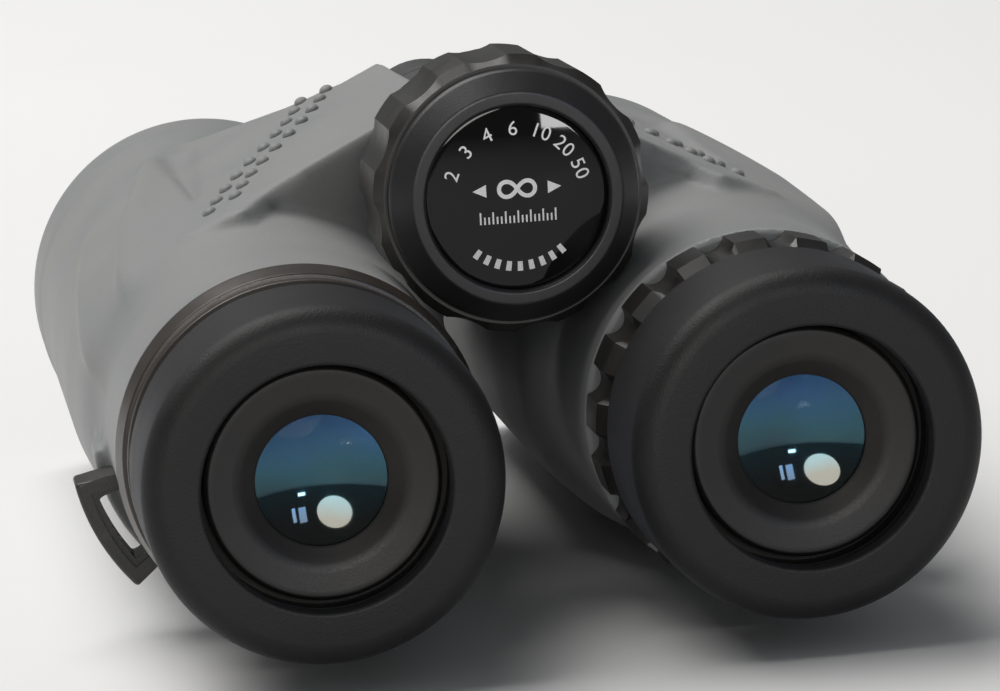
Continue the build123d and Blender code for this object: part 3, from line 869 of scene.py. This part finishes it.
collar_shape = turned(
    (COLLAR_BORE_R, COLLAR_START, 0), (COLLAR_R, COLLAR_START, 0.4), (COLLAR_R, COLLAR_END, 0),
    (COLLAR_BORE_R, COLLAR_END, 0),
)
piece(
    settle(collar_shape, centre="hinge"), "hinge_sleeve", dark_metal, "left_half",
    ("hinge_collar",),
)
nut_blank = turned(
    (NUT_BORE_R, NUT_BACK, 0), (NUT_R, NUT_BACK, 0), (NUT_R, NUT_FACE, 0.35), (NUT_BORE_R, NUT_FACE, 0.2),
)
nut_shape = notched(nut_blank, (1.6, 1.2, 1.4), NUT_R - 0.1, NUT_FACE, (0, 90, 180, 270))
piece(
    settle(nut_shape, centre="hinge"), "hinge_locknut", dark_metal, "left_half",
    ("hinge_nut",),
)

# ---- Objectives --------------------------------------------------------------------------------
# Deep in each mouth a threaded black ring holds the 42 mm objective: two lenses with a spacer and a
# seal. The coatings of the front lens show green in the middle and magenta towards the rim.

CROWN_R, CROWN_BACK, CROWN_FRONT, CROWN_SAG = 20.8, 126.5, 132.3, 2.4
KEEPER_BORE_R, KEEPER_R = 20.6, 21.7
KEEPER_BACK, KEEPER_FACE = 131.0, 134.0


def objective_glass():
    finish = Finish("objective_glass")
    facing = finish.node("ShaderNodeLayerWeight", sockets={"Blend": 0.35}, output="Facing")
    smear = finish.noise(8.0, 3.0)
    tone = finish.colours(finish.spread(facing, 0.05, 0.6), (0.004, 0.028, 0.018), (0.05, 0.008, 0.04))
    return finish.surface({
        "Base Color": tone,
        "Roughness": finish.spread(smear, 0.3, 0.8, 0.015, 0.06),
        "Specular IOR Level": 0.7,
        "Specular Tint": (0.45, 1.0, 0.75, 1),
        "Coat Weight": 0.5,
        "Coat Roughness": 0.01,
    })


def retaining_ring_shape():
    """Stepped inside like light baffles, with two spanner slots in its face."""
    ring = turned(
        (KEEPER_BORE_R, KEEPER_BACK, 0), (KEEPER_R, KEEPER_BACK, 0), (KEEPER_R, KEEPER_FACE, 0.15),
        (21.2, KEEPER_FACE, 0.1), (21.1, 133.3, 0), (20.9, 133.2, 0), (20.8, 132.4, 0),
        (KEEPER_BORE_R, 132.3, 0),
    )
    return notched(ring, (3.0, 1.4, 1.6), KEEPER_R - 0.4, KEEPER_FACE, (35, 215))


def crown_shape():
    """The front lens, domed outwards, with a ground bevel at its rim."""
    dome = domed(CROWN_R - 0.1, CROWN_FRONT, -CROWN_SAG, 16)
    return turned(
        (0, CROWN_BACK, 0), (CROWN_R - 0.3, CROWN_BACK, 0), (CROWN_R, CROWN_BACK + 0.3, 0),
        (CROWN_R, 129.7, 0), *reversed(dome),
    )


objective_glass_material = objective_glass()
repaint(
    [side + part for side in BOTH for part in ("_objective_flint", "_field_lens", "_focus_lens")],
    objective_glass_material,
)
for side in BOTH:
    piece(
        settle(crown_shape(), side), side + "_front_lens", objective_glass_material, side + "_half",
        (side + "_objective_crown",),
    )
    piece(
        settle(retaining_ring_shape(), side), side + "_retaining_ring", dark_metal, side + "_half",
        (side + "_objective_ring",),
    )
repaint([side + "_objective_spacer" for side in BOTH], dark_metal)
repaint([side + "_objective_seal" for side in BOTH], cup_material)

# ---- Prisms and focusing cells -----------------------------------------------------------------
# Sealed inside: pairs of roof prisms clamped in black cages, and the sliding cells of the focusing
# lenses. Nobody sees them unless the binoculars are opened.


def prism_glass():
    finish = Finish("prism_glass")
    polish = finish.noise(4.0, 2.0)
    return finish.surface({
        "Base Color": finish.colours(polish, (0.62, 0.72, 0.7), (0.75, 0.82, 0.8)),
        "Roughness": finish.spread(polish, 0.3, 0.7, 0.02, 0.08),
        "Alpha": 0.45,
    })


repaint([side + part for side in BOTH for part in ("_half_penta_prism", "_roof_prism")], prism_glass())
repaint([side + part for side in BOTH for part in ("_prism_cage", "_focus_cell")], dark_metal)

# ---- Focus knob --------------------------------------------------------------------------------
# A scooped grip of satin brown-black plastic on a hub, closed at the user's end by a bevelled ring
# with a fine pearly grain. A glossy domed plate is glued into the ring.

KNOB_R, KNOB_RIM_R = 17.3, 14.8
KNOB_START, KNOB_END = 28.2, 42.3
KNOB_VALLEY = 0.65
KNOB_LUGS, KNOB_PHASE, KNOB_LUG_SHARE = 12, 83.0, 0.4
REAR_BEVEL, FRONT_BEVEL = 1.15, 0.6
knob_outline = (
    (KNOB_RIM_R, KNOB_START, 0), (KNOB_R - REAR_BEVEL, KNOB_START, 0),
    (KNOB_R, KNOB_START + REAR_BEVEL, 0), (KNOB_R, 35.0, 0), (KNOB_R, KNOB_END - FRONT_BEVEL, 0),
    (KNOB_R - FRONT_BEVEL, KNOB_END, 0), (KNOB_RIM_R, KNOB_END, 0),
)
knob_rim = scooped(
    knob_outline, KNOB_R, KNOB_VALLEY, KNOB_LUGS, KNOB_PHASE, KNOB_LUG_SHARE, per_lug=30,
)
knob_brown = grip_plastic("knob_brown", (0.014, 0.012, 0.0105), (0.024, 0.021, 0.0185))
piece(
    settle(knob_rim, centre="hinge"), "focus_grip", knob_brown, "focus_knob", ("knob_grip",),
    sharp=18,
)

PLATE_SEAT = 27.0
BEZEL_FACE, BEZEL_MOUTH_R, BEZEL_BORE_R = 24.5, 11.4, 9.5
bezel_shape = turned(
    (BEZEL_MOUTH_R, PLATE_SEAT, 0), (BEZEL_MOUTH_R, BEZEL_FACE + 0.3, 0.12), (11.75, BEZEL_FACE, 0.12),
    (13.1, BEZEL_FACE, 0.25), (15.6, 26.85, 0.35), (15.7, 27.5, 0.1), (KNOB_RIM_R, 27.7, 0),
    (KNOB_RIM_R, KNOB_START, 0), (BEZEL_BORE_R, KNOB_START, 0), (BEZEL_BORE_R, PLATE_SEAT, 0),
)
bezel_satin = satin_metal(
    "bezel_satin", (0.021, 0.0205, 0.022), (0.035, 0.0345, 0.037), roughness=0.4, relief=0.02,
)
piece(
    settle(bezel_shape, centre="hinge"), "focus_bezel", bezel_satin, "focus_knob",
    ("knob_bezel",),
)
repaint(["knob_core"], sleeve_plastic)

PLATE_R = 11.35
PLATE_EDGE, PLATE_CROWN = 25.8, 25.3


def plate_face(radius):
    """Station of the domed face at a radius."""
    return PLATE_CROWN + (PLATE_EDGE - PLATE_CROWN) * (radius / PLATE_R) ** 2


def gloss_black():
    finish = Finish("gloss_black")
    ripple = finish.noise(9.0, 2.0)
    return finish.surface({
        "Base Color": finish.colours(ripple, (0.004, 0.004, 0.005), (0.009, 0.008, 0.008)),
        "Roughness": finish.spread(ripple, 0.3, 0.7, 0.03, 0.07),
        "Specular IOR Level": 0.16,
        "Coat Weight": 0.22,
        "Coat Roughness": 0.015,
        "Normal": finish.bump(ripple, 0.03),
    })


plate = turned(
    *[(PLATE_R * k / 16, plate_face(PLATE_R * k / 16), 0) for k in range(16)],
    (PLATE_R, PLATE_EDGE, 0.12), (PLATE_R, PLATE_SEAT, 0), (0, PLATE_SEAT, 0),
)
piece(
    settle(plate, centre="hinge"), "focus_plate", gloss_black(), "focus_knob", ("knob_badge",),
)

# ---- Marks on the plate ------------------------------------------------------------------------
# White marks for the focus, printed on the plate: distances in metres round the top, an infinity
# sign between two arrow heads in the middle, a small scale under it and a row of dashes below.

PRINT_T, PRINT_SUNK = 0.03, 0.01
NUMBER_SIZE, ENDLESS_SIZE = 2.5, 6.0
MARKS_R = 8.5
MIDDLE_Z = 1.1
ARROW_X, ARROW_REACH = 4.4, 1.5
SCALE_Z, SCALE_STEP, SCALE_BAR, SHORT_BAR, LONG_BAR = -2.6, 0.52, 0.2, 0.9, 1.5
DASHES, DASH_WIDTH, FIRST_DASH, DASH_STEP, HALF_DASH = 9, 1.2, 232, 9.5, 2.2


def lay_on_plate(flat):
    """Wraps flat marks, drawn in X and Z in millimetres, over the plate's dome."""
    for vert in flat.verts:
        depth = vert.co.y
        vert.co.y = plate_face(math.hypot(vert.co.x, vert.co.z)) - PRINT_SUNK + depth
    return flat


def thickened(flat):
    """Gives flat marks the thickness of a coat of ink."""
    walls = bmesh.ops.extrude_face_region(flat, geom=flat.faces[:])["geom"]
    top = [part for part in walls if isinstance(part, bmesh.types.BMVert)]
    bmesh.ops.translate(flat, verts=top, vec=(0, -PRINT_T, 0))
    bmesh.ops.recalc_face_normals(flat, faces=flat.faces)
    return flat


def upright(flat):
    """Turns marks drawn in X and Y up into X and Z."""
    bmesh.ops.rotate(flat, verts=flat.verts, matrix=Matrix.Rotation(math.radians(90), 3, "X"))
    return flat


def number_mark(text, size, radius, angle):
    """A number whose foot points at the middle of the plate."""
    letters = bpy.data.curves.new("number", "FONT")
    letters.body = text
    letters.size = size
    letters.align_x = "CENTER"
    letters.align_y = "CENTER"
    letters.space_character = 1.1
    carrier = bpy.data.objects.new("number", letters)
    flat = bmesh.new()
    flat.from_mesh(carrier.to_mesh())
    bpy.data.objects.remove(carrier)
    bmesh.ops.remove_doubles(flat, verts=flat.verts, dist=1e-4)
    swing(upright(flat), 90 - angle)
    x, z = polar(radius, angle)
    bmesh.ops.translate(flat, verts=flat.verts, vec=(x, 0, z))
    return flat


def arc_mark(radius, width, low, high):
    """A printed arc between two angles."""
    arc = bmesh.new()
    ends = []
    for offset in (-width / 2, width / 2):
        x, z = polar(radius + offset, low)
        ends.append(arc.verts.new((x, 0, z)))
    edge = arc.edges.new(ends)
    bmesh.ops.spin(
        arc, geom=[edge, *ends], cent=(0, 0, 0), axis=(0, 1, 0), angle=math.radians(low - high),
        steps=max(2, int((high - low) / 2)), use_duplicate=False,
    )
    return arc


def bar_mark(x, z, width, height):
    """A small upright bar."""
    bar = bmesh.new()
    bmesh.ops.create_grid(bar, x_segments=1, y_segments=1, size=0.5)
    bmesh.ops.scale(bar, vec=(width, height, 1), verts=bar.verts)
    bmesh.ops.translate(upright(bar), verts=bar.verts, vec=(x, 0, z))
    return bar


def arrow_mark(x, z, reach):
    """A solid arrow head; its sign says which way it points."""
    head = bmesh.new()
    bmesh.ops.create_circle(head, cap_ends=True, segments=3, radius=0.75)
    swing(upright(head), 90 if reach > 0 else -90)
    bmesh.ops.scale(head, vec=(abs(reach), 1, 1.2), verts=head.verts)
    bmesh.ops.translate(head, verts=head.verts, vec=(x, 0, z))
    return head


distances = (("2", 158), ("3", 135), ("4", 113), ("6", 91), ("10", 67), ("20", 44), ("50", 21))
marks = [number_mark(text, NUMBER_SIZE, MARKS_R, angle) for text, angle in distances]
marks.append(number_mark("\u221e", ENDLESS_SIZE, MIDDLE_Z, 90))
for way in (-1, 1):
    marks.append(arrow_mark(way * ARROW_X, MIDDLE_Z, way * ARROW_REACH))
for step in range(-9, 10):
    height = LONG_BAR if step % 3 == 0 else SHORT_BAR
    marks.append(bar_mark(step * SCALE_STEP, SCALE_Z + (height - SHORT_BAR) / 2, SCALE_BAR, height))
for step in range(DASHES):
    middle = FIRST_DASH + step * DASH_STEP
    marks.append(arc_mark(MARKS_R, DASH_WIDTH, middle - HALF_DASH, middle + HALF_DASH))


def white_ink():
    finish = Finish("white_ink")
    wear = finish.noise(0.8, 3.0)
    return finish.surface({
        "Base Color": finish.colours(finish.spread(wear, 0.35, 0.6), (0.86, 0.86, 0.85), (0.97, 0.97, 0.96)),
        "Roughness": finish.spread(wear, 0.3, 0.7, 0.35, 0.5),
        # The ink glows faintly. This is painted light that keeps the marks bright white where the plate is in
        # shade.
        "Emission Color": (1, 1, 1, 1),
        "Emission Strength": 0.16,
    })


printed = lay_on_plate(join(*[thickened(mark) for mark in marks]))
piece(settle(printed, centre="hinge"), "focus_marks", white_ink(), "focus_knob", sharp=40)

# ---- Floor, light and camera -------------------------------------------------------------------
# A pale matt table under one broad soft light. An oval lamp, the two panes of a window and a small
# card, all on the eyepieces' side, show only in reflections.

FLOOR_REACH = 3.0
floor_shape = bmesh.new()
bmesh.ops.create_grid(floor_shape, x_segments=1, y_segments=1, size=FLOOR_REACH)
floor = as_object(floor_shape, "table")


def table_top():
    finish = Finish("table_top")
    cloud = finish.noise(300.0, 2.0)
    return finish.surface({
        "Base Color": finish.colours(cloud, (0.86, 0.86, 0.86), (0.9, 0.9, 0.9)),
        "Roughness": 0.8,
    })


floor.data.materials.append(table_top())

world = bpy.data.worlds.new("room")
bpy.context.scene.world = world
world.use_nodes = True
background = world.node_tree.nodes["Background"]
background.inputs["Color"].default_value = (0.93, 0.96, 1.0, 1)
background.inputs["Strength"].default_value = 0.16


def away_at(azimuth, elevation):
    """The direction at an azimuth, in degrees to the right of -Y, and an elevation above level."""
    turn, tilt = math.radians(azimuth), math.radians(elevation)
    return Vector((math.sin(turn) * math.cos(tilt), -math.cos(turn) * math.cos(tilt), math.sin(tilt)))


def soft_light(name, aim, azimuth, elevation, distance, width, height, power, colour, outline="RECTANGLE"):
    """A flat light on a sphere about a point, facing it."""
    lamp = bpy.data.lights.new(name, "AREA")
    lamp.shape = outline
    lamp.size = width
    lamp.size_y = height
    lamp.energy = power
    lamp.color = colour
    holder = bpy.data.objects.new(name, lamp)
    bpy.context.scene.collection.objects.link(holder)
    away = away_at(azimuth, elevation)
    holder.location = Vector(aim) + away * distance
    holder.rotation_euler = away.to_track_quat("Z", "Y").to_euler()
    return holder


MIDDLE, KNOB_HEIGHT = (0, 0, 0.03), (0, 0, 0.053)
soft_light("overhead", MIDDLE, -130, 64, 2.4, 2.3, 1.9, 66.0, (1.0, 0.985, 0.96))
for lamp in (
    soft_light("lamp", MIDDLE, -7.0, 19, 1.2, 0.56, 0.48, 6.8, (1.0, 0.96, 0.9), "ELLIPSE"),
    soft_light("left_pane", MIDDLE, 19, 19, 1.3, 0.13, 0.24, 0.9, (0.42, 0.62, 1.0)),
    soft_light("right_pane", MIDDLE, 26, 18, 1.3, 0.06, 0.22, 0.5, (0.4, 0.6, 1.0)),
    soft_light("card", KNOB_HEIGHT, 15.5, 1.5, 0.62, 0.06, 0.025, 0.11, (1.0, 1.0, 1.0)),
):
    lamp.visible_diffuse = False

VIEW_AZIMUTH, VIEW_ELEVATION, VIEW_ROLL = -9.6, 10.95, -2.8
VIEW_TARGET = Vector((-0.0067, -0.0652, 0.0396))
VIEW_DISTANCE = 0.438
camera = bpy.data.cameras.new("viewer")
camera.lens = 134.47
camera.sensor_width = 36
camera.clip_start = 0.01
viewer = bpy.data.objects.new("viewer", camera)
bpy.context.scene.collection.objects.link(viewer)
view_back = away_at(VIEW_AZIMUTH, VIEW_ELEVATION)
facing = view_back.to_track_quat("Z", "Y").to_matrix().to_4x4()
roll = Matrix.Rotation(math.radians(VIEW_ROLL), 4, "Z")
viewer.matrix_world = Matrix.Translation(VIEW_TARGET + view_back * VIEW_DISTANCE) @ facing @ roll
bpy.context.scene.camera = viewer
bpy.context.scene.view_settings.view_transform = "Standard"
